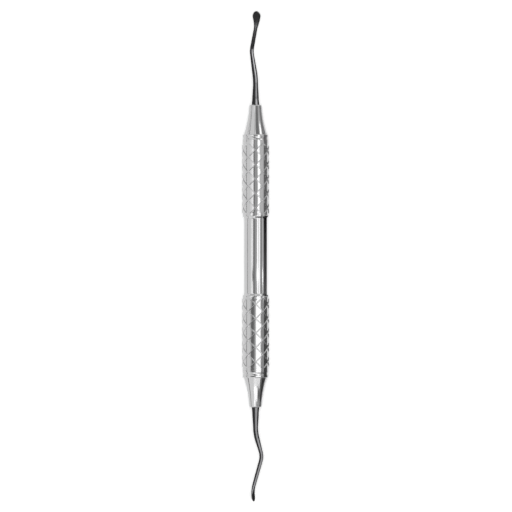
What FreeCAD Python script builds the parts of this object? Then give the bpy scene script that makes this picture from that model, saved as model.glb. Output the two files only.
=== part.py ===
import FreeCAD, Part
import math
import os

from FreeCAD import Vector

# Double-ended tunneling knife, lying on its side as it comes to rest.
# The handle's axis runs along Y at the height of the grips' crest radius, +Z is
# up, and the origin is on the floor below the middle of the handle.
# The upper working end points along +Y and shows its blade's face upwards.
# Lengths are in millimetres and angles in degrees.

# Handle tube: two grips with a slimmer smooth waist between them
GRIP_LENGTH = 26.5
GRIP_DIA = 9.0
WAIST_LENGTH = 26.1
WAIST_DIA = 8.05
SHOULDER_LENGTH = 0.6
TUBE_BORE_DIA = 7.0

# Raised lattice on each grip: ridges wound both ways round it, so that they cross.
# The crests are flats, and a whole flat lies lowest, where the knife rests.
RIDGE_CREST_DIA = 9.5
RIDGE_STARTS = 5
RIDGE_PITCH = 5.04
RIDGE_WIDTH = 0.3
FLATS_PER_CELL = 3
LATTICE_END_MARGIN = 1.1

# Nose cones: turned plugs pressed into the tube's ends
CONE_LENGTH = 10.35
CONE_WIDE_DIA = 8.1
CONE_NOSE_DIA = 4.4
CONE_SAG = 0.31
NOSE_CHAMFER = 0.3
BAND_LENGTH = 1.8
BAND_DIA = 9.0
BAND_CHAMFER = 0.22
NECK_LENGTH = 0.6
NECK_DIA = 8.6
SPIGOT_LENGTH = 6.0
SPIGOT_CHAMFER = 0.4

# Working ends: tang in the nose bore, tapering bent shank and spade blade
TANG_DIA = 2.2
TANG_LENGTH = 9.0
TANG_CHAMFER = 0.3
BORE_SPARE_DEPTH = 1.0
ROOT_DIA = 2.75
FLARE_DIA = 2.25
FLARE_LENGTH = 2.8
FLARE_SAG = 0.07
FIRST_BEND_DIA = 1.74
FIRST_BEND_RADIUS = 16.0
SECOND_BEND_DIA = 1.34
SECOND_BEND_RADIUS = 6.0
BLADE_NECK_DIA = 1.22
BLADE_LENGTH = 6.2
BLADE_WIDTH = 2.78
BLADE_TIP_LENGTH = 1.9
BLADE_FRONT_HEIGHT = 0.42
BLADE_BACK_HEIGHT = 0.45
FACE_LEVEL = 0.25
FACE_START_LEVEL = 0.7
BODY_STATIONS = 6
TIP_STATIONS = 7
TIP_LAST_ANGLE = 8.0

# Each shank's bends: how far out from the nose, how far across and how far up.
# The last direction is the blade's at its tip, in the same order.
UPPER_END = {
    "first_bend": (9.2, 0.0, 0.0),
    "second_bend": (19.0, -1.42, -2.4),
    "blade_start": (26.8, 0.02, -1.9),
    "tip_direction": (1.0, -0.12, 0.3),
    "face_turn": 0.0,
}
LOWER_END = {
    "first_bend": (9.0, 0.0, 0.0),
    "second_bend": (17.3, 2.27, -0.7),
    "blade_start": (26.9, -0.43, -0.3),
    "tip_direction": (1.0, 0.24, 0.05),
    "face_turn": 67.0,
}

# How far a cutting shape stands past what it cuts
OVERRUN = 1.0

ALONG = Vector(0, 1, 0)
UP = Vector(0, 0, 1)
AXIS_HEIGHT = RIDGE_CREST_DIA / 2
TUBE_LENGTH = 2 * (GRIP_LENGTH + SHOULDER_LENGTH) + WAIST_LENGTH
HANDLE_LENGTH = TUBE_LENGTH + 2 * (NECK_LENGTH + BAND_LENGTH + CONE_LENGTH)


def line(start, end):
    return Part.LineSegment(Vector(*start, 0), Vector(*end, 0)).toShape()


def arc(start, middle, end):
    return Part.Arc(Vector(*start, 0), Vector(*middle, 0), Vector(*end, 0)).toShape()


def sagging_arc(start, end, sag):
    """An arc whose middle lies sag nearer the axis than its chord's middle."""
    middle_radius = (start[0] + end[0]) / 2 - sag
    return arc(start, (middle_radius, (start[1] + end[1]) / 2), end)


def turned(edges):
    """A solid of revolution about the handle's axis from (radius, along) edges."""
    return Part.Face(Part.Wire(edges)).revolve(Vector(), ALONG, 360)


def polygon(corners):
    return Part.Face(Part.makePolygon([*corners, corners[0]]))


def outward(solid):
    """The same solid with its skin facing out."""
    if solid.Volume < 0:
        solid.reverse()
    return solid


def flat_sided_bar(across_flats, start, end):
    """A bar about the axis with as many flats as the lattice's crests, one of them lowest."""
    sides = 2 * RIDGE_STARTS * FLATS_PER_CELL
    corner_radius = across_flats / 2 / math.cos(math.pi / sides)
    corners = []
    for i in range(sides):
        angle = 2 * math.pi * (i + 0.5) / sides
        corners.append(Vector(corner_radius * math.sin(angle), start, corner_radius * math.cos(angle)))
    return polygon(corners).extrude(ALONG * (end - start))


def lattice_pocket():
    """The tapering four-sided tool that clears one cell between the ridges, on the top."""
    crest = RIDGE_CREST_DIA / 2
    half_cell = math.pi / RIDGE_STARTS
    slope = math.atan2(RIDGE_PITCH / 2, half_cell * crest)
    half_angle = half_cell - RIDGE_WIDTH / 2 / math.sin(slope) / crest
    half_length = (RIDGE_PITCH - RIDGE_WIDTH / math.cos(slope)) / 2
    rings = []
    for height in (TUBE_BORE_DIA / 2, crest + OVERRUN):
        across = height * math.tan(half_angle)
        along = half_length * height / crest
        rings.append([Vector(across, 0, height), Vector(0, along, height),
                      Vector(-across, 0, height), Vector(0, -along, height)])
    low, high = rings
    faces = [polygon(low[::-1]), polygon(high)]
    faces += [polygon([low[i - 1], low[i], high[i], high[i - 1]]) for i in range(4)]
    return outward(Part.Solid(Part.Shell(faces)))


def lattice(start, end):
    """The ridges and the floor between them, over one stretch of the handle."""
    half_pitch = RIDGE_PITCH / 2
    middle = (start + end) / 2
    rows = math.ceil((end - start) / 2 / half_pitch)
    tool = lattice_pocket()
    pockets = []
    for row in range(-rows, rows + 1):
        for column in range(RIDGE_STARTS):
            pocket = tool.translated(ALONG * (middle + row * half_pitch))
            pocket.rotate(Vector(), ALONG, 180 * (2 * column + row % 2 + 1) / RIDGE_STARTS)
            pockets.append(pocket)
    ridges = flat_sided_bar(RIDGE_CREST_DIA, start, end).cut(pockets)
    floor_flats = GRIP_DIA * math.cos(math.pi / (2 * RIDGE_STARTS * FLATS_PER_CELL))
    return ridges.fuse(flat_sided_bar(floor_flats, start, end))


def handle_tube():
    grip = GRIP_DIA / 2
    waist = WAIST_DIA / 2
    end = TUBE_LENGTH / 2
    lattice_outer = end - LATTICE_END_MARGIN
    grip_inner = end - GRIP_LENGTH
    lattice_inner = grip_inner + LATTICE_END_MARGIN
    waist_end = WAIST_LENGTH / 2
    plain_inner_half = turned([
        line((0, 0), (0, lattice_inner)),
        line((0, lattice_inner), (grip, lattice_inner)),
        line((grip, lattice_inner), (grip, grip_inner)),
        line((grip, grip_inner), (waist, waist_end)),
        line((waist, waist_end), (waist, 0)),
        line((waist, 0), (0, 0)),
    ])
    collar = Part.makeCylinder(grip, LATTICE_END_MARGIN, ALONG * lattice_outer, ALONG)
    upper = lattice(lattice_inner, lattice_outer).fuse([plain_inner_half, collar])
    whole = upper.fuse(upper.mirror(Vector(), ALONG)).removeSplitter()
    bore_length = TUBE_LENGTH + 2 * OVERRUN
    bore = Part.makeCylinder(TUBE_BORE_DIA / 2, bore_length, ALONG * (-bore_length / 2), ALONG)
    return whole.cut(bore)


def nose_cone():
    """The upper plug, with its spigot in the tube and its bore for the tang."""
    spigot = TUBE_BORE_DIA / 2
    neck = NECK_DIA / 2
    band = BAND_DIA / 2
    wide = CONE_WIDE_DIA / 2
    nose = CONE_NOSE_DIA / 2
    bore = TANG_DIA / 2
    seat = TUBE_LENGTH / 2
    inner_end = seat - SPIGOT_LENGTH
    band_start = seat + NECK_LENGTH
    band_end = band_start + BAND_LENGTH
    face = HANDLE_LENGTH / 2
    bore_end = face - TANG_LENGTH - BORE_SPARE_DEPTH
    edges = [
        line((0, bore_end), (0, inner_end)),
        line((0, inner_end), (spigot - SPIGOT_CHAMFER, inner_end)),
        line((spigot - SPIGOT_CHAMFER, inner_end), (spigot, inner_end + SPIGOT_CHAMFER)),
        line((spigot, inner_end + SPIGOT_CHAMFER), (spigot, seat)),
        line((spigot, seat), (neck, seat)),
        line((neck, seat), (neck, band_start)),
        line((neck, band_start), (band, band_start)),
        line((band, band_start), (band, band_end - BAND_CHAMFER)),
        line((band, band_end - BAND_CHAMFER), (band - BAND_CHAMFER, band_end)),
        line((band - BAND_CHAMFER, band_end), (wide, band_end)),
        sagging_arc((wide, band_end), (nose, face - NOSE_CHAMFER), CONE_SAG),
        line((nose, face - NOSE_CHAMFER), (nose - NOSE_CHAMFER, face)),
        line((nose - NOSE_CHAMFER, face), (bore, face)),
        line((bore, face), (bore, bore_end)),
        line((bore, bore_end), (0, bore_end)),
    ]
    return turned(edges)


def tang_and_root(first_bend_start):
    """The straight first part of a working end, from the tang to the first bend."""
    tang = TANG_DIA / 2
    root = ROOT_DIA / 2
    flare = FLARE_DIA / 2
    bend = FIRST_BEND_DIA / 2
    face = HANDLE_LENGTH / 2
    tang_end = face - TANG_LENGTH
    flare_end = face + FLARE_LENGTH
    edges = [
        line((0, tang_end), (tang - TANG_CHAMFER, tang_end)),
        line((tang - TANG_CHAMFER, tang_end), (tang, tang_end + TANG_CHAMFER)),
        line((tang, tang_end + TANG_CHAMFER), (tang, face)),
        line((tang, face), (root, face)),
        sagging_arc((root, face), (flare, flare_end), FLARE_SAG),
        line((flare, flare_end), (bend, first_bend_start)),
        line((bend, first_bend_start), (0, first_bend_start)),
        line((0, first_bend_start), (0, tang_end)),
    ]
    return turned(edges)


def unit(vector):
    return Vector(vector).normalize()


def bend(corner, before, after, radius, diameter):
    """A round rod bent about a corner, with the points where it starts and ends."""
    angle = before.getAngle(after)
    setback = radius * math.tan(angle / 2)
    start = corner - before * setback
    end = corner + after * setback
    hinge = unit(before.cross(after))
    centre = start + hinge.cross(before) * radius
    section = Part.Face(Part.Wire(Part.makeCircle(diameter / 2, start, before)))
    return section.revolve(centre, hinge, math.degrees(angle)), start, end


def taper(start, end, start_dia, end_dia):
    """A straight rod that thins out evenly, its side ruled between two circles."""
    circles = [Part.makeCircle(start_dia / 2, start, end - start),
               Part.makeCircle(end_dia / 2, end, end - start)]
    discs = [Part.Face(Part.Wire(circle)) for circle in circles]
    return outward(Part.Solid(Part.Shell([Part.makeRuledSurface(*circles), *discs])))


def blade_half_width(from_tip):
    """Elliptical round the tip, then drawn in to the round neck."""
    widest = BLADE_WIDTH / 2
    neck = BLADE_NECK_DIA / 2
    if from_tip <= BLADE_TIP_LENGTH:
        return widest * math.sqrt(1 - (1 - from_tip / BLADE_TIP_LENGTH) ** 2)
    share = (from_tip - BLADE_TIP_LENGTH) / (BLADE_LENGTH - BLADE_TIP_LENGTH)
    return neck + (widest - neck) * (1 - share) ** 1.5 * (1 + 0.5 * share)


def blade_height(from_tip, full_height):
    """Height of the face side or of the back, which thins out with the tip."""
    if from_tip <= BLADE_TIP_LENGTH:
        return full_height * blade_half_width(from_tip) / (BLADE_WIDTH / 2)
    share = (from_tip - BLADE_TIP_LENGTH) / (BLADE_LENGTH - BLADE_TIP_LENGTH)
    return full_height + (BLADE_NECK_DIA / 2 - full_height) * share


def face_level(from_tip):
    """Height of the ground face over the blade's middle plane."""
    share = max(0.0, (from_tip - BLADE_TIP_LENGTH) / (BLADE_LENGTH - BLADE_TIP_LENGTH))
    return FACE_LEVEL + (FACE_START_LEVEL - FACE_LEVEL) * share


def blade_stations():
    """Distances from the tip at which the blade's sections stand."""
    body = BLADE_LENGTH - BLADE_TIP_LENGTH
    stations = [BLADE_LENGTH - body * i / BODY_STATIONS for i in range(BODY_STATIONS)]
    for i in range(TIP_STATIONS + 1):
        angle = math.radians(90 + (TIP_LAST_ANGLE - 90) * i / TIP_STATIONS)
        stations.append(BLADE_TIP_LENGTH * (1 - math.cos(angle)))
    return stations


def blade(start, before, after, face_direction):
    """A curved spade blade: lens sections with the front ground to a flat face."""
    angle = before.getAngle(after)
    radius = BLADE_LENGTH / angle
    hinge = unit(before.cross(after))
    inward = hinge.cross(before)
    sections = []
    grinds = []
    for from_tip in blade_stations():
        turn = (BLADE_LENGTH - from_tip) / radius
        centre = start + before * (radius * math.sin(turn)) + inward * (radius * (1 - math.cos(turn)))
        tangent = before * math.cos(turn) + inward * math.sin(turn)
        side = unit(tangent.cross(face_direction))
        front = side.cross(tangent)
        half_width = side * blade_half_width(from_tip)
        crown = centre + front * blade_height(from_tip, BLADE_FRONT_HEIGHT)
        back = centre - front * blade_height(from_tip, BLADE_BACK_HEIGHT)
        rim = (centre - half_width, centre + half_width)
        sections.append(Part.Wire([
            Part.Arc(rim[0], crown, rim[1]).toShape(),
            Part.Arc(rim[1], back, rim[0]).toShape(),
        ]))
        low = centre + front * face_level(from_tip)
        high = centre + front * BLADE_WIDTH
        reach = side * BLADE_WIDTH
        grinds.append(Part.makePolygon([low - reach, low + reach, high + reach, high - reach,
                                        low - reach]))
    body = Part.makeLoft(sections, True, True)
    return body.cut(Part.makeLoft(grinds, True, True))


def working_end(shape, way):
    """One bent shank with its tang and blade, pointing along Y in the given way."""
    face = HANDLE_LENGTH / 2

    def place(out, across, up):
        return Vector(across, face + out, up)

    def heading(out, across, up):
        return unit(Vector(across, out, up))

    mirrored = {name: (value[0], way * value[1], value[2]) if isinstance(value, tuple) else value
                for name, value in shape.items()}
    first = place(*mirrored["first_bend"])
    second = place(*mirrored["second_bend"])
    blade_start = place(*mirrored["blade_start"])
    run_out = unit(second - first)
    run_back = unit(blade_start - second)
    turn = math.radians(way * mirrored["face_turn"])
    face_direction = Vector(math.sin(turn), 0, math.cos(turn))
    first_bend, first_start, first_end = bend(first, ALONG, run_out,
                                              FIRST_BEND_RADIUS, FIRST_BEND_DIA)
    second_bend, second_start, second_end = bend(second, run_out, run_back,
                                                 SECOND_BEND_RADIUS, SECOND_BEND_DIA)
    pieces = [
        first_bend,
        taper(first_end, second_start, FIRST_BEND_DIA, SECOND_BEND_DIA),
        second_bend,
        taper(second_end, blade_start, SECOND_BEND_DIA, BLADE_NECK_DIA),
        blade(blade_start, run_back, heading(*mirrored["tip_direction"]), face_direction),
    ]
    whole = tang_and_root(first_start.y).fuse(pieces).removeSplitter()
    if way < 0:
        whole.rotate(Vector(), UP, 180)
    return whole


def lower_copy(shape):
    copy = shape.copy()
    copy.rotate(Vector(), UP, 180)
    return copy


def main():
    os.makedirs("parts", exist_ok=True)
    upper_cone = nose_cone()
    nodes = {
        "handle_tube": handle_tube(),
        "upper_nose_cone": upper_cone,
        "lower_nose_cone": lower_copy(upper_cone),
        "upper_working_end": working_end(UPPER_END, 1),
        "lower_working_end": working_end(LOWER_END, -1),
    }
    for name, shape in nodes.items():
        shape.translate(UP * AXIS_HEIGHT)
        solid = shape.Solids[0]
        solid.exportStep("parts/" + name + ".step")
        box = solid.BoundBox
        print(name, "valid", shape.isValid(), "solids", len(shape.Solids),
              "volume", round(solid.Volume, 2), "box",
              [round(value, 3) for value in (box.XMin, box.XMax, box.YMin, box.YMax, box.ZMin, box.ZMax)])


main()
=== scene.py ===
import math

import bmesh
import bpy
from mathutils import Matrix, Vector


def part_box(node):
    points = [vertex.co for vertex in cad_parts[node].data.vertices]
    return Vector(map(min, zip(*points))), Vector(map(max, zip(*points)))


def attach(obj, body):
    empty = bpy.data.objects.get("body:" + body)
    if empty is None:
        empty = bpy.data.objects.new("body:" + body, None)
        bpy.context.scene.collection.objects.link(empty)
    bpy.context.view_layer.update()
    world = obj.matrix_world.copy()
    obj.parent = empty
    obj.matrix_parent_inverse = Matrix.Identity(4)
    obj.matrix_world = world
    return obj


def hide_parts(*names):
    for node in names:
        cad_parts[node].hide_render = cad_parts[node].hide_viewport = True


# Double-ended tunneling knife lying on a pale floor, seen from straight above.
# Shapes are worked out in millimetres about the handle's own axis, which runs
# along Y, and are moved up to that axis in metres when their mesh is made.
# Round forms are given by their radius.
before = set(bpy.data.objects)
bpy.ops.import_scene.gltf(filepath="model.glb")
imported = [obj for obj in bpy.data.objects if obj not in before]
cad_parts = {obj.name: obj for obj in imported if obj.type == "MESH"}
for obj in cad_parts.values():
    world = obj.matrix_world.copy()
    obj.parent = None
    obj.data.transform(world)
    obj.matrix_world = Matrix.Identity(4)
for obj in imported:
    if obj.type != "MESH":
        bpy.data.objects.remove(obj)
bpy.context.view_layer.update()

MM = 0.001


def node_box(node):
    """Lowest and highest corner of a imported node, in millimetres."""
    return [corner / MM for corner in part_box(node)]


tube_low, tube_high = node_box("handle_tube")
cone_low, cone_high = node_box("upper_nose_cone")

# What the frame says
CREST = (tube_high.z - tube_low.z) / 2
AXIS_HEIGHT = (tube_high.z + tube_low.z) / 2
TUBE_END = tube_high.y
NOSE_FACE = cone_high.y
SPIGOT_END = cone_low.y
BAND = (cone_high.x - cone_low.x) / 2

# Handle tube and its two grips, each with five ridges one way and five the other
GRIP = 4.5
WAIST = 4.025
BORE = 3.5
GRIP_LENGTH = 26.5
SHOULDER_LENGTH = 0.6
LATTICE_END_MARGIN = 1.1
RIDGE_STARTS = 5
RIDGE_PITCH = 5.04
RIDGE_TOP_HALF = 0.06
RIDGE_FOOT_HALF = 0.22
RIDGE_RUN_OUT = 0.35
EDGE_ROUND = 0.04
SHOULDER_EASE = 0.45

# A plain strip has a ring this far from its round or groove, so that the
# smooth shading between the two stays narrow
EDGE_GUARD = 0.03

# Nose cones: groove, band, concave cone, spigot and the tang's bore
CONE_WIDE = 4.05
CONE_NOSE = 2.2
CONE_LENGTH = 10.35
CONE_SAG = 0.31
NOSE_EDGE_ROUND = 0.4
BAND_LENGTH = 0.8
BAND_EDGE_ROUND = 0.3
GROOVE_LENGTH = 1.1
GROOVE_DEPTH = 0.15
SPIGOT_CHAMFER = 0.4
TANG = 1.1
TANG_LENGTH = 9.0
BORE_SPARE_DEPTH = 1.0

# Working ends: tang, flared root, bent shank and spade blade
TANG_CHAMFER = 0.3
ROOT = 1.375
FLARE = 1.125
FLARE_LENGTH = 2.8
FLARE_SAG = 0.07
FIRST_BEND = 0.87
FIRST_BEND_RADIUS = 16.0
SECOND_BEND = 0.67
SECOND_BEND_RADIUS = 6.0
BLADE_NECK = 0.61
BLADE_LENGTH = 6.2
BLADE_HALF_WIDTH = 1.39
BLADE_TIP_LENGTH = 1.9
BLADE_TIP_CLOSE_ANGLE = 2
BLADE_TAPER_POWER = 1.5
BLADE_TAPER_SWELL = 0.5
BLADE_FRONT_HEIGHT = 0.42
BLADE_BACK_HEIGHT = 0.45
FACE_LEVEL = 0.14
FACE_START_LEVEL = 0.58

# A section's rim points are spread over this share of a quarter turn, and its
# face keeps some width even where nothing is cut off, so that no points meet
RIM_TURN_SHARE = 0.999
LEAST_FACE_SHARE = 0.06

# Each shank's bends: how far out from the nose, how far across and how far up.
# The tip's direction is in the same order, and the blade's ground face is
# turned about its own line by an angle in degrees.
UPPER_END = {
    "first_bend": (9.2, 0.0, 0.0),
    "second_bend": (19.0, -1.42, -2.4),
    "blade_start": (26.8, 0.02, -1.9),
    "tip_direction": (1.0, -0.12, 0.3),
    "face_turn": 0.0,
}
LOWER_END = {
    "first_bend": (9.0, 0.0, 0.0),
    "second_bend": (17.3, 2.27, -0.7),
    "blade_start": (26.9, -0.43, -0.3),
    "tip_direction": (1.0, 0.24, 0.05),
    "face_turn": 63.0,
}

# How finely the curves are divided
LATHE_SEGMENTS = 160
TUBE_EDGE_STEPS = 4
SHOULDER_STEPS = 10
GROOVE_STEPS = 12
CONE_STEPS = 24
CONE_EDGE_STEPS = 8
FLARE_STEPS = 6
BEND_STEPS = 14
BLADE_STEPS = 16
RIM_STEPS = 5
FACE_STEPS = 8
BACK_STEPS = 18
RIDGE_FLANK_SHARES = (0.25, 0.5, 0.75, 1)
POCKET_EDGE_IN_FEET = 1.5

AHEAD = Vector((0, 1, 0))
HALF_TURN = Matrix.Rotation(math.pi, 4, "Z")
SHARP_ANGLE = math.radians(32)
CUT_TOLERANCE = 1e-5
WELD_DISTANCE = 1e-4
RING_TOLERANCE = 1e-3


def smooth_step(value):
    """0 to 1 in an S curve, level at both ends."""
    value = min(1.0, max(0.0, value))
    return value * value * (3 - 2 * value)


def finish_mesh(name, mesh_data, material, replaced):
    """Turns a bmesh in millimetres about the axis into a piece in the row frame."""
    mesh_data.transform(Matrix.Translation((0, 0, AXIS_HEIGHT)))
    mesh_data.transform(Matrix.Scale(MM, 4))
    bmesh.ops.recalc_face_normals(mesh_data, faces=mesh_data.faces[:])
    mesh = bpy.data.meshes.new(name)
    mesh_data.to_mesh(mesh)
    mesh_data.free()
    mesh.shade_smooth()
    mesh.set_sharp_from_angle(angle=SHARP_ANGLE)
    piece = bpy.data.objects.new(name, mesh)
    bpy.context.scene.collection.objects.link(piece)
    mesh.materials.append(material)
    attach(piece, "root")
    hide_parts(replaced)
    return piece


def skin(mesh_data, first, second):
    """Quads between two closed rings with as many vertices."""
    for i in range(len(first)):
        j = (i + 1) % len(first)
        mesh_data.faces.new((first[i], first[j], second[j], second[i]))


def ring(mesh_data, radius, along, angles):
    """Vertices about the axis, at angles from straight up towards +X."""
    return [mesh_data.verts.new((radius * math.sin(a), along, radius * math.cos(a)))
            for a in angles]


# Outlines are lists of (radius, along) points


def rounded(start, corner, end, steps):
    """Points of a quarter round between two points as far from their corner."""
    centre = [start[i] + end[i] - corner[i] for i in (0, 1)]
    points = []
    for i in range(steps + 1):
        turn = math.pi / 2 * i / steps
        points.append(tuple(centre[k] + (start[k] - centre[k]) * math.cos(turn)
                            + (end[k] - centre[k]) * math.sin(turn) for k in (0, 1)))
    return points


def sagging(start, end, sag, steps):
    """Points of a shallow arc whose middle lies sag nearer the axis."""
    points = []
    for i in range(steps + 1):
        share = i / steps
        drop = 4 * sag * share * (1 - share)
        points.append((start[0] + (end[0] - start[0]) * share - drop,
                       start[1] + (end[1] - start[1]) * share))
    return points


def ogee(start, end, steps):
    """Points of an S that leaves both of its ends along the axis."""
    points = []
    for i in range(steps + 1):
        share = i / steps
        points.append((start[0] + (end[0] - start[0]) * smooth_step(share),
                       start[1] + (end[1] - start[1]) * share))
    return points


# Ridge lattice


def lattice_offsets():
    """Shares of one cell, close together at its ridges, and its width in millimetres."""
    slope = math.atan(RIDGE_STARTS * RIDGE_PITCH / (2 * math.pi * GRIP))
    gap = RIDGE_PITCH * math.cos(slope)
    flank = RIDGE_FOOT_HALF - RIDGE_TOP_HALF
    near = [0, RIDGE_TOP_HALF]
    near += [RIDGE_TOP_HALF + flank * share for share in RIDGE_FLANK_SHARES]
    near += [RIDGE_FOOT_HALF * POCKET_EDGE_IN_FEET, gap / 4, gap / 2]
    shares = [distance / gap for distance in near]
    return shares + [1 - share for share in reversed(shares[1:-1])], gap


def ridge_height(share, gap):
    """Height from 0 to 1 at a place given in cells across one family of ridges."""
    distance = abs(share - round(share)) * gap
    return smooth_step((RIDGE_FOOT_HALF - distance) / (RIDGE_FOOT_HALF - RIDGE_TOP_HALF))


def lattice_zone(mesh_data, centre, half_length):
    """The raised lattice, as a skin about the axis from one end circle to the other.

    Its quads follow both families of ridges: u counts lines across one family
    and v across the other. The ends are then cut square, and the height is set.
    """
    offsets, gap = lattice_offsets()
    per_cell = len(offsets)
    per_turn = RIDGE_STARTS * per_cell
    rows = int(half_length / (RIDGE_PITCH / 2)) + 2
    known = {}

    def vertex(u, v):
        turns = (u + v) // (2 * per_turn)
        key = (u - turns * per_turn, v - turns * per_turn)
        if key not in known:
            across_u, across_v = [count // per_cell + offsets[count % per_cell] for count in key]
            angle = (across_u + across_v) * math.pi / RIDGE_STARTS
            along = centre + (across_u - across_v) * RIDGE_PITCH / 2
            known[key] = ring(mesh_data, GRIP, along, [angle])[0]
        return known[key]

    for row in range(-rows, rows + 1):
        for column in range(RIDGE_STARTS):
            total = 2 * column + row % 2
            u = (total + row) // 2 * per_cell
            v = (total - row) // 2 * per_cell
            for i in range(per_cell):
                for j in range(per_cell):
                    mesh_data.faces.new((vertex(u + i, v + j), vertex(u + i + 1, v + j),
                                         vertex(u + i + 1, v + j + 1), vertex(u + i, v + j + 1)))
    # Cut off square at both ends, and given two more rings where the ridges run out
    for side in (-1, 1):
        for reach, clear in ((half_length, True), (half_length - RIDGE_RUN_OUT, False),
                             (half_length - RIDGE_RUN_OUT / 2, False)):
            everything = mesh_data.verts[:] + mesh_data.edges[:] + mesh_data.faces[:]
            bmesh.ops.bisect_plane(mesh_data, geom=everything, dist=CUT_TOLERANCE,
                                   plane_co=(0, centre + side * reach, 0),
                                   plane_no=(0, side, 0), clear_outer=clear)
    for vert in mesh_data.verts:
        angle = math.atan2(vert.co.x, vert.co.z)
        along = vert.co.y - centre
        around = angle * RIDGE_STARTS / math.pi
        up = along * 2 / RIDGE_PITCH
        first = ridge_height((around + up) / 2, gap)
        second = ridge_height((around - up) / 2, gap)
        run_out = smooth_step((half_length - abs(along)) / RIDGE_RUN_OUT)
        height = (first + second - first * second) * run_out
        radius = GRIP + (CREST - GRIP) * height
        vert.co = (radius * math.sin(angle), vert.co.y, radius * math.cos(angle))


def end_ring(mesh_data, along):
    """The boundary vertices at one place along the axis in the order of their angle, and the angles."""
    found = [v for v in mesh_data.verts if v.is_boundary and abs(v.co.y - along) < RING_TOLERANCE]
    found.sort(key=lambda v: math.atan2(v.co.x, v.co.z))
    return found, [math.atan2(v.co.x, v.co.z) for v in found]


def handle_tube(material):
    """One half of the tube from its lattice outwards, then its mirror image."""
    half = bmesh.new()
    grip_inner = TUBE_END - GRIP_LENGTH
    centre = TUBE_END - GRIP_LENGTH / 2
    half_length = GRIP_LENGTH / 2 - LATTICE_END_MARGIN
    lattice_zone(half, centre, half_length)
    outer, outer_angles = end_ring(half, centre + half_length)
    inner, inner_angles = end_ring(half, centre - half_length)
    outwards = [
        (GRIP, TUBE_END - EDGE_ROUND - EDGE_GUARD),
        *rounded((GRIP, TUBE_END - EDGE_ROUND), (GRIP, TUBE_END), (GRIP - EDGE_ROUND, TUBE_END),
                 TUBE_EDGE_STEPS),
        (BORE, TUBE_END),
        (BORE, 0),
    ]
    inwards = [
        *ogee((GRIP, grip_inner + SHOULDER_EASE), (WAIST, grip_inner - SHOULDER_LENGTH),
              SHOULDER_STEPS),
        (WAIST, grip_inner / 2),
        (WAIST, 0),
    ]
    for last, angles, outline in ((outer, outer_angles, outwards), (inner, inner_angles, inwards)):
        for radius, along in outline:
            new = ring(half, radius, along, angles)
            skin(half, last, new)
            last = new
    other = half.copy()
    bmesh.ops.scale(other, vec=(1, -1, 1), verts=other.verts[:])
    bmesh.ops.reverse_faces(other, faces=other.faces[:])
    spare = bpy.data.meshes.new("spare_half")
    other.to_mesh(spare)
    other.free()
    half.from_mesh(spare)
    bpy.data.meshes.remove(spare)
    bmesh.ops.remove_doubles(half, verts=half.verts[:], dist=WELD_DISTANCE)
    return finish_mesh("lattice_handle_tube", half, material, "handle_tube")


# Nose cones


def join_rings(mesh_data, last, new):
    """Quads between two rings, or triangles where one of them is a single point."""
    if len(last) == len(new):
        skin(mesh_data, last, new)
        return
    point, circle = (last[0], new) if len(last) == 1 else (new[0], last)
    for i in range(len(circle)):
        mesh_data.faces.new((circle[i], circle[(i + 1) % len(circle)], point))


def lathe(outline):
    """A closed skin turned about the axis from an outline that starts and ends on it."""
    turned = bmesh.new()
    angles = [2 * math.pi * i / LATHE_SEGMENTS for i in range(LATHE_SEGMENTS)]
    last = None
    for radius, along in outline:
        new = ring(turned, radius, along, angles if radius else [0])
        if last:
            join_rings(turned, last, new)
        last = new
    return turned


def nose_cone(name, material, replaced, way):
    """A cone with its band, groove and spigot, at the +Y end, or at the other where way is -1."""
    band_end = NOSE_FACE - CONE_LENGTH
    groove_start = band_end - BAND_LENGTH
    bore_end = NOSE_FACE - TANG_LENGTH - BORE_SPARE_DEPTH
    outline = [
        (0, bore_end),
        (TANG, bore_end),
        (TANG, NOSE_FACE),
        *reversed(rounded((CONE_NOSE, NOSE_FACE - NOSE_EDGE_ROUND), (CONE_NOSE, NOSE_FACE),
                          (CONE_NOSE - NOSE_EDGE_ROUND, NOSE_FACE), CONE_EDGE_STEPS)),
        *reversed(sagging((CONE_WIDE, band_end), (CONE_NOSE, NOSE_FACE - NOSE_EDGE_ROUND),
                          CONE_SAG, CONE_STEPS)[:-1]),
        *reversed(rounded((BAND, band_end - BAND_EDGE_ROUND), (BAND, band_end),
                          (BAND - BAND_EDGE_ROUND, band_end), CONE_EDGE_STEPS)),
        (BAND, groove_start + EDGE_GUARD),
        *sagging((BAND, groove_start), (GRIP, groove_start - GROOVE_LENGTH), GROOVE_DEPTH,
                 GROOVE_STEPS),
        (GRIP, groove_start - GROOVE_LENGTH - EDGE_GUARD),
        (GRIP, TUBE_END),
        (BORE, TUBE_END),
        (BORE, SPIGOT_END + SPIGOT_CHAMFER),
        (BORE - SPIGOT_CHAMFER, SPIGOT_END),
        (0, SPIGOT_END),
    ]
    cone = lathe(outline)
    if way < 0:
        cone.transform(HALF_TURN)
    return finish_mesh(name, cone, material, replaced)


# Working ends


def arc_height(across, half_width, height):
    """Height of a circular arc over its chord."""
    radius = (half_width ** 2 + height ** 2) / (2 * height)
    return math.sqrt(max(0.0, radius ** 2 - across ** 2)) - (radius - height)


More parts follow.
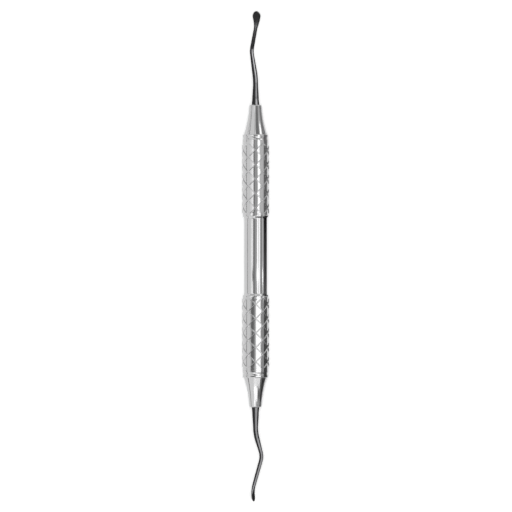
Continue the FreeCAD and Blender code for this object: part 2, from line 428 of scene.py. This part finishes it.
def section(half_width, front, back, level):
    """A lens of two arcs, its front cut off flat at a level, as (across, up) points.

    Every section has as many points in the same order, so that any two can be
    joined: from one rim up to the face, across it, down to the other rim and
    back underneath.
    """
    radius = (half_width ** 2 + front ** 2) / (2 * front)
    under = radius ** 2 - (level + radius - front) ** 2
    flat = max(LEAST_FACE_SHARE * half_width, math.sqrt(under) if level < front else 0.0)
    rim_turn = math.pi / 2 * RIM_TURN_SHARE
    across = [half_width * math.cos(rim_turn * i / RIM_STEPS) for i in range(RIM_STEPS + 1)]
    lowest = across[-1]
    rim = [flat + (value - lowest) / (half_width - lowest) * (half_width - flat) for value in across]
    face = [flat * (1 - 2 * i / FACE_STEPS) for i in range(1, FACE_STEPS)]
    top = rim + face + [-value for value in reversed(rim)]
    points = [(value, min(level, arc_height(value, half_width, front))) for value in top]
    for i in range(1, BACK_STEPS):
        value = -half_width * math.cos(math.pi * i / BACK_STEPS)
        points.append((value, -arc_height(value, half_width, back)))
    return points


def round_section(radius):
    """A circle with the points of a lens, its level too high to cut it."""
    return section(radius, radius, radius, 2 * radius)


def blade_half_width(from_tip):
    """Elliptical round the tip, then drawn in to the round neck."""
    if from_tip <= BLADE_TIP_LENGTH:
        return BLADE_HALF_WIDTH * math.sqrt(1 - (1 - from_tip / BLADE_TIP_LENGTH) ** 2)
    share = (from_tip - BLADE_TIP_LENGTH) / (BLADE_LENGTH - BLADE_TIP_LENGTH)
    taper = (1 - share) ** BLADE_TAPER_POWER * (1 + BLADE_TAPER_SWELL * share)
    return BLADE_NECK + (BLADE_HALF_WIDTH - BLADE_NECK) * taper


def blade_height(from_tip, full_height):
    """Grows with the width round the tip, then changes evenly to the round neck's."""
    if from_tip <= BLADE_TIP_LENGTH:
        return full_height * blade_half_width(from_tip) / BLADE_HALF_WIDTH
    share = (from_tip - BLADE_TIP_LENGTH) / (BLADE_LENGTH - BLADE_TIP_LENGTH)
    return full_height + (BLADE_NECK - full_height) * share


def face_level(from_tip):
    """Height of the ground face, which runs out towards the neck."""
    share = max(0.0, (from_tip - BLADE_TIP_LENGTH) / (BLADE_LENGTH - BLADE_TIP_LENGTH))
    return FACE_LEVEL + (FACE_START_LEVEL - FACE_LEVEL) * share


# A station is a point on the end's middle line, its heading and its section


def on_arc(start, before, inward, radius, turn):
    """Point and heading at an angle along an arc that starts with a heading."""
    point = start + before * (radius * math.sin(turn)) + inward * (radius * (1 - math.cos(turn)))
    return point, before * math.cos(turn) + inward * math.sin(turn)


def inward_side(before, after):
    """Direction from an arc's start to its centre, given its first and last heading."""
    return before.cross(after).normalized().cross(before)


def root_stations():
    """Tang and flared root, on the handle's axis."""
    tang_end = NOSE_FACE - TANG_LENGTH
    outline = [
        (TANG - TANG_CHAMFER, tang_end),
        (TANG, tang_end + TANG_CHAMFER),
        (TANG, NOSE_FACE),
        *sagging((ROOT, NOSE_FACE), (FLARE, NOSE_FACE + FLARE_LENGTH), FLARE_SAG, FLARE_STEPS),
    ]
    return [(Vector((0, along, 0)), AHEAD, round_section(radius)) for radius, along in outline]


def bend_stations(corner, before, after, bend_radius, shank_radius):
    """A round shank along a bend about a corner."""
    angle = before.angle(after)
    start = corner - before * (bend_radius * math.tan(angle / 2))
    inward = inward_side(before, after)
    return [(*on_arc(start, before, inward, bend_radius, angle * i / BEND_STEPS),
             round_section(shank_radius)) for i in range(BEND_STEPS + 1)]


def blade_stations(start, before, after):
    """A spade blade from its neck to its tip, curved from one heading to another."""
    bend_radius = BLADE_LENGTH / before.angle(after)
    inward = inward_side(before, after)
    body_length = BLADE_LENGTH - BLADE_TIP_LENGTH
    places = [BLADE_LENGTH - body_length * i / BLADE_STEPS for i in range(BLADE_STEPS)]
    for i in range(BLADE_STEPS + 1):
        turn = math.radians(90 - (90 - BLADE_TIP_CLOSE_ANGLE) * i / BLADE_STEPS)
        places.append(BLADE_TIP_LENGTH * (1 - math.cos(turn)))
    stations = []
    for from_tip in places:
        turn = (BLADE_LENGTH - from_tip) / bend_radius
        lens = section(blade_half_width(from_tip), blade_height(from_tip, BLADE_FRONT_HEIGHT),
                       blade_height(from_tip, BLADE_BACK_HEIGHT), face_level(from_tip))
        stations.append((*on_arc(start, before, inward, bend_radius, turn), lens))
    return stations


def sweep(stations, facing):
    """A closed skin through the stations' sections, their fronts turned one way."""
    swept = bmesh.new()
    last = None
    for point, heading, outline in stations:
        side = heading.cross(facing).normalized()
        front = side.cross(heading)
        new = [swept.verts.new(point + side * x + front * z) for x, z in outline]
        if last:
            skin(swept, last, new)
        else:
            swept.faces.new(new)
        last = new
    swept.faces.new(list(reversed(last)))
    return swept


def working_end(name, material, replaced, shape, way):
    """Tang, root, two bends and a blade, at the +Y end, or at the other where way is -1."""

    def across_up(out, across, up):
        return Vector((across * way, out, up))

    nose = Vector((0, NOSE_FACE, 0))
    first = nose + across_up(*shape["first_bend"])
    second = nose + across_up(*shape["second_bend"])
    blade_start = nose + across_up(*shape["blade_start"])
    run_out = (second - first).normalized()
    run_back = (blade_start - second).normalized()
    tip_heading = across_up(*shape["tip_direction"]).normalized()
    face_turn = math.radians(way * shape["face_turn"])
    facing = Vector((math.sin(face_turn), 0, math.cos(face_turn)))
    stations = [
        *root_stations(),
        *bend_stations(first, AHEAD, run_out, FIRST_BEND_RADIUS, FIRST_BEND),
        *bend_stations(second, run_out, run_back, SECOND_BEND_RADIUS, SECOND_BEND),
        *blade_stations(blade_start, run_back, tip_heading),
    ]
    swept = sweep(stations, facing)
    if way < 0:
        swept.transform(HALF_TURN)
    return finish_mesh(name, swept, material, replaced)


# Materials: scales are in noise cells a metre, heights in metres

WHITE = (1, 1, 1, 1)
STEEL_COLOUR = (0.76, 0.76, 0.765, 1)
STEEL_ROUGHNESS = (0.05, 0.24)
STEEL_CLOUD_SCALE = (180, 60, 180)
STEEL_CLOUD_DETAIL = 2
BELT_LINE_DETAIL = 4
BELT_LINE_HEIGHT = 0.00002
HANDLE_LINE_SCALE = (3000, 40, 3000)
HANDLE_LINE_STRENGTH = 0.2
CONE_LINE_SCALE = (60, 6000, 60)
CONE_LINE_STRENGTH = 0.25
COATING_DARK = (0.042, 0.042, 0.043, 1)
COATING_LIGHT = (0.058, 0.058, 0.060, 1)
COATING_DARK_AT = 0.3
COATING_LIGHT_AT = 0.75
COATING_EDGE_TINT = (0.3, 0.3, 0.3, 1)
COATING_ROUGHNESS = (0.12, 0.24)
COATING_CLOUD_SCALE = (700, 250, 700)
COATING_GRAIN_SCALE = (9000, 9000, 9000)
COATING_DETAIL = 3
COATING_GRAIN_HEIGHT = 0.000005
COATING_GRAIN_STRENGTH = 0.06
FLOOR_COLOUR = (0.8, 0.8, 0.8, 1)
FLOOR_ROUGHNESS = 0.9
FLOOR_LIFT = 0.42


def new_material(name):
    """A Principled material, as its nodes, its links and its shader node too."""
    material = bpy.data.materials.new(name)
    material.use_nodes = True
    nodes = material.node_tree.nodes
    return material, nodes, material.node_tree.links, nodes["Principled BSDF"]


def stretched_noise(nodes, links, scale, detail):
    """Noise in object coordinates, with its own scale along each axis."""
    coordinates = nodes.new("ShaderNodeTexCoord")
    mapping = nodes.new("ShaderNodeMapping")
    mapping.inputs["Scale"].default_value = scale
    noise = nodes.new("ShaderNodeTexNoise")
    noise.inputs["Scale"].default_value = 1.0
    noise.inputs["Detail"].default_value = detail
    links.new(coordinates.outputs["Object"], mapping.inputs["Vector"])
    links.new(mapping.outputs["Vector"], noise.inputs["Vector"])
    return noise.outputs["Fac"]


def ranged(nodes, links, source, low, high):
    """A value from 0 to 1, spread from low to high."""
    spread = nodes.new("ShaderNodeMapRange")
    spread.inputs["To Min"].default_value = low
    spread.inputs["To Max"].default_value = high
    links.new(source, spread.inputs["Value"])
    return spread.outputs["Result"]


def bumped(nodes, links, source, strength, height, shader):
    bump = nodes.new("ShaderNodeBump")
    bump.inputs["Strength"].default_value = strength
    bump.inputs["Distance"].default_value = height
    links.new(source, bump.inputs["Height"])
    links.new(bump.outputs["Normal"], shader.inputs["Normal"])


def multiplied(nodes, links, first, second):
    product = nodes.new("ShaderNodeMath")
    product.operation = "MULTIPLY"
    links.new(first, product.inputs[0])
    links.new(second, product.inputs[1])
    return product.outputs["Value"]


def polished_steel(name, line_scale, line_strength):
    """Satin polished stainless steel with faint lines left by the polishing belt."""
    material, nodes, links, shader = new_material(name)
    shader.inputs["Metallic"].default_value = 1.0
    shader.inputs["Base Color"].default_value = STEEL_COLOUR
    lines = stretched_noise(nodes, links, line_scale, BELT_LINE_DETAIL)
    clouds = stretched_noise(nodes, links, STEEL_CLOUD_SCALE, STEEL_CLOUD_DETAIL)
    both = multiplied(nodes, links, lines, clouds)
    links.new(ranged(nodes, links, both, *STEEL_ROUGHNESS), shader.inputs["Roughness"])
    bumped(nodes, links, lines, line_strength, BELT_LINE_HEIGHT, shader)
    return material


def black_coating():
    """Glossy hard black coating, very slightly mottled."""
    material, nodes, links, shader = new_material("black_coating_finish")
    shader.inputs["Metallic"].default_value = 1.0
    shader.inputs["Specular Tint"].default_value = COATING_EDGE_TINT
    grain = stretched_noise(nodes, links, COATING_GRAIN_SCALE, COATING_DETAIL)
    clouds = stretched_noise(nodes, links, COATING_CLOUD_SCALE, COATING_DETAIL)
    tint = nodes.new("ShaderNodeValToRGB")
    dark, light = tint.color_ramp.elements
    dark.position = COATING_DARK_AT
    dark.color = COATING_DARK
    light.position = COATING_LIGHT_AT
    light.color = COATING_LIGHT
    links.new(clouds, tint.inputs["Fac"])
    links.new(tint.outputs["Color"], shader.inputs["Base Color"])
    links.new(ranged(nodes, links, clouds, *COATING_ROUGHNESS), shader.inputs["Roughness"])
    bumped(nodes, links, grain, COATING_GRAIN_STRENGTH, COATING_GRAIN_HEIGHT, shader)
    return material


def floor_material():
    """Pale matt floor, lifted to white where the camera sees it, with its shadow kept."""
    material, nodes, links, shader = new_material("pale_floor_finish")
    shader.inputs["Base Color"].default_value = FLOOR_COLOUR
    shader.inputs["Roughness"].default_value = FLOOR_ROUGHNESS
    shader.inputs["Emission Color"].default_value = WHITE
    path = nodes.new("ShaderNodeLightPath")
    lift = ranged(nodes, links, path.outputs["Is Camera Ray"], 0.0, FLOOR_LIFT)
    links.new(lift, shader.inputs["Emission Strength"])
    return material


# Light: places and sizes are in metres, and a level of 1 is as bright as white

WORLD_LEVEL = 0.15
FLOOR_HALF = 1.5
FLOOR_LAMP_SIZE = 0.8
FLOOR_LAMP_HEIGHT = 1.2
FLOOR_LAMP_LEVEL = 6.5

# Soft boxes in a ring about the handle's axis. Each has its first and last angle
# from straight up towards +X, in degrees, its span along Y and its level. The
# handle and cones mirror them as stripes along the knife.
LAMP_DISTANCE = 0.12
HANDLE_BOXES = {
    "left_wall": (-84, -50, -0.060, 0.060, 0.56),
    "left_shoulder_upper": (-50, -34, -0.014, 0.060, 0.66),
    "left_shoulder_lower": (-50, -38, -0.060, -0.014, 0.35),
    "left_edge_upper": (-34, -17, 0.014, 0.060, 0.88),
    "left_edge_middle": (-36, -26, -0.005, 0.014, 0.78),
    "left_edge_low_middle": (-36, -31, -0.014, -0.005, 0.55),
    "left_gap_upper": (-17, -5, 0.014, 0.060, 0.05),
    "left_gap_middle": (-26, -5, -0.014, 0.014, 0.05),
    "left_gap_lower": (-14, -5, -0.060, -0.014, 0.13),
    "top_upper": (-5, 19, 0.014, 0.060, 0.22),
    "top_middle": (-5, 11, -0.014, 0.014, 0.24),
    "top_lower": (-5, 4, -0.060, -0.014, 0.38),
    "key_upper": (19, 38, 0.014, 0.060, 1.40),
    "key_middle_near": (11, 26, -0.005, 0.014, 1.20),
    "key_middle_line": (26, 33, -0.005, 0.014, 0.72),
    "key_middle_far": (33, 44, -0.014, 0.014, 1.10),
    "key_low_middle": (7, 33, -0.014, -0.005, 1.25),
    "key_lower": (4, 48, -0.060, -0.014, 1.20),
    "right_wall_upper": (38, 70, 0.014, 0.060, 0.42),
    "right_foot_upper": (70, 84, 0.014, 0.060, 0.30),
    "right_wall_middle": (45, 69, -0.014, 0.014, 0.13),
    "right_line_middle": (69, 87, -0.005, 0.014, 0.38),
    "right_line_low_middle": (69, 83, -0.014, -0.005, 1.30),
    "right_wall_lower": (48, 82, -0.060, -0.014, 0.16),
    "upper_cone_left_wall": (-86, -73, 0.060, 0.150, 0.60),
    "upper_cone_left": (-66, -14, 0.060, 0.150, 0.57),
    "upper_cone_nose": (-28, -8, 0.060, 0.080, 0.20),
    "upper_cone_top": (-14, 4, 0.060, 0.150, 0.35),
    "upper_cone_dark": (4, 40, 0.060, 0.150, 0.04),
    "upper_cone_right": (40, 84, 0.060, 0.150, 0.30),
    "upper_cone_wedge": (50, 70, 0.096, 0.150, 0.95),
    "lower_cone_left": (-80, -22, -0.150, -0.060, 0.62),
    "lower_cone_nose": (-27, 10, -0.080, -0.060, 0.85),
    "lower_cone_middle": (-22, 30, -0.108, -0.080, 1.15),
    "lower_cone_wide": (-22, 55, -0.150, -0.108, 0.80),
    "lower_cone_right": (15, 84, -0.080, -0.060, 0.20),
    "far_upper_left": (-86, -4, 0.150, 0.700, 0.30),
    "far_upper_right": (-4, 84, 0.150, 0.700, 0.60),
    "far_lower_left": (-86, -4, -0.700, -0.150, 0.65),
}

# The black ends' own boxes, as far off
END_BOXES = {
    "ends_left": (-84, -14, -0.350, 0.350, 0.50),
    "ends_right": (-14, 82, -0.056, 0.200, 0.40),
    "lower_streak": (-14, 82, -0.200, -0.056, 3.6),
    "lower_streak_middle": (-14, 60, -0.200, -0.056, 2.6),
    "upper_far": (-14, 82, 0.200, 0.450, 0.40),
    "lower_far": (-14, 82, -0.450, -0.200, 0.50),
}

# Boxes further off, which make the thin streak on the upper shank
STREAK_DISTANCE = 0.5
STREAK_BOXES = {
    "upper_streak": (-14, 76, 0.100, 0.620, 3.4),
    "upper_streak_near": (8, 60, 0.100, 0.340, 5.2),
    "upper_streak_far": (8, 56, 0.340, 0.620, 8.0),
}

# Dark cards to the right of the handle, which only reflections show. Each has its
# grey at its low and high end along Y, its span along Y, its place along X and its top.
FLAG_FOOT = 0.0002
FLAGS = {
    "flag_upper_cone": (0.62, 0.80, 0.046, 0.075, 0.0115, 0.0095),
    "flag_upper": (0.48, 0.52, 0.014, 0.046, 0.0115, 0.0095),
    "flag_middle": (0.46, 0.06, -0.014, 0.014, 0.0065, 0.0078),
    "flag_lower": (0.20, 0.30, -0.041, -0.014, 0.0115, 0.0095),
    "flag_lower_cone": (0.16, 0.16, -0.0525, -0.041, 0.0115, 0.0095),
    "flag_lower_nose": (0.45, 0.40, -0.064, -0.0525, 0.0115, 0.0095),
}


def area_lamp(name, width, length, level, place, tilt, lit):
    """A lamp that the camera doesn't see and that lights only one collection."""
    lamp = bpy.data.lights.new(name, "AREA")
    lamp.shape = "RECTANGLE"
    lamp.size = width
    lamp.size_y = length
    lamp.energy = level * math.pi * width * length
    lamp_object = bpy.data.objects.new(name, lamp)
    lamp_object.location = place
    lamp_object.rotation_euler = (0, tilt, 0)
    lamp_object.visible_camera = False
    lamp_object.light_linking.receiver_collection = lit
    bpy.context.scene.collection.objects.link(lamp_object)


def soft_box(name, first, last, low, high, level, distance, lit):
    """A lamp that faces the handle's axis and spans two angles about it."""
    middle = math.radians((first + last) / 2)
    width = 2 * distance * math.tan(math.radians((last - first) / 2))
    place = (distance * math.sin(middle), (low + high) / 2,
             AXIS_HEIGHT * MM + distance * math.cos(middle))
    area_lamp(name, width, high - low, level, place, middle, lit)


def lit_collection(name, pieces):
    collection = bpy.data.collections.new(name)
    for piece in pieces:
        collection.objects.link(piece)
    return collection


def staged_card(name, corners):
    """One face of the stage, which isn't part of the knife."""
    mesh = bpy.data.meshes.new(name)
    mesh.from_pydata(corners, [], [(0, 1, 2, 3)])
    card = bpy.data.objects.new(name, mesh)
    bpy.context.scene.collection.objects.link(card)
    return card


def flag(name, low_grey, high_grey, low, high, across, top):
    """An upright card along the handle, its grey fading from one end to the other."""
    corners = [(across, low, FLAG_FOOT), (across, high, FLAG_FOOT), (across, high, top),
               (across, low, top)]
    card = staged_card(name, corners)
    material, nodes, links, shader = new_material(name + "_finish")
    coordinates = nodes.new("ShaderNodeTexCoord")
    split = nodes.new("ShaderNodeSeparateXYZ")
    fade = nodes.new("ShaderNodeMapRange")
    fade.inputs["From Min"].default_value = low
    fade.inputs["From Max"].default_value = high
    fade.inputs["To Min"].default_value = low_grey
    fade.inputs["To Max"].default_value = high_grey
    links.new(coordinates.outputs["Object"], split.inputs["Vector"])
    links.new(split.outputs["Y"], fade.inputs["Value"])
    links.new(fade.outputs["Result"], shader.inputs["Base Color"])
    shader.inputs["Roughness"].default_value = 1.0
    shader.inputs["Specular IOR Level"].default_value = 0.0
    card.data.materials.append(material)
    card.visible_camera = False
    card.visible_shadow = False
    card.visible_diffuse = False


def light_the_world():
    """White where the camera sees it, and dim as a light and in reflections."""
    world = bpy.data.worlds.new("studio")
    world.use_nodes = True
    nodes = world.node_tree.nodes
    links = world.node_tree.links
    background = nodes["Background"]
    background.inputs["Color"].default_value = WHITE
    path = nodes.new("ShaderNodeLightPath")
    level = ranged(nodes, links, path.outputs["Is Camera Ray"], WORLD_LEVEL, 1.0)
    links.new(level, background.inputs["Strength"])
    bpy.context.scene.world = world


def light_the_stage(tube, cones, ends, floor):
    lit_handle = lit_collection("lit_handle", [tube, *cones])
    lit_ends = lit_collection("lit_ends", ends)
    groups = ((HANDLE_BOXES, LAMP_DISTANCE, lit_handle),
              (END_BOXES, LAMP_DISTANCE, lit_ends),
              (STREAK_BOXES, STREAK_DISTANCE, lit_ends))
    for boxes, distance, lit in groups:
        for name, values in boxes.items():
            soft_box(name, *values, distance, lit)
    area_lamp("floor_lamp", FLOOR_LAMP_SIZE, FLOOR_LAMP_SIZE, FLOOR_LAMP_LEVEL,
              (0, 0, FLOOR_LAMP_HEIGHT), 0, lit_collection("lit_floor", [floor]))
    for name, values in FLAGS.items():
        flag(name, *values)
    light_the_world()


def pale_floor():
    corners = [(-FLOOR_HALF, -FLOOR_HALF, 0), (FLOOR_HALF, -FLOOR_HALF, 0),
               (FLOOR_HALF, FLOOR_HALF, 0), (-FLOOR_HALF, FLOOR_HALF, 0)]
    floor = staged_card("pale_floor", corners)
    floor.data.materials.append(floor_material())
    return floor


# Camera: straight above, with the photograph's 512 px spanning 0.35 mm each

VIEW_WIDTH = 0.1792
VIEW_CENTRE = (0.00016, 0.0)
CAMERA_DISTANCE = 1.6
SENSOR_WIDTH = 36.0


def add_camera():
    camera = bpy.data.cameras.new("camera")
    camera.sensor_width = SENSOR_WIDTH
    camera.lens = camera.sensor_width * CAMERA_DISTANCE / VIEW_WIDTH
    camera_object = bpy.data.objects.new("camera", camera)
    camera_object.location = (*VIEW_CENTRE, AXIS_HEIGHT * MM + CAMERA_DISTANCE)
    bpy.context.scene.collection.objects.link(camera_object)
    bpy.context.scene.camera = camera_object


def build_knife():
    handle_steel = polished_steel("handle_steel_finish", HANDLE_LINE_SCALE, HANDLE_LINE_STRENGTH)
    cone_steel = polished_steel("cone_steel_finish", CONE_LINE_SCALE, CONE_LINE_STRENGTH)
    coating = black_coating()
    tube = handle_tube(handle_steel)
    cones = [nose_cone("upper_cone", cone_steel, "upper_nose_cone", 1),
             nose_cone("lower_cone", cone_steel, "lower_nose_cone", -1)]
    ends = [working_end("upper_blade_and_shank", coating, "upper_working_end", UPPER_END, 1),
            working_end("lower_blade_and_shank", coating, "lower_working_end", LOWER_END, -1)]
    return tube, cones, ends


light_the_stage(*build_knife(), pale_floor())
add_camera()
bpy.context.scene.view_settings.view_transform = "Standard"
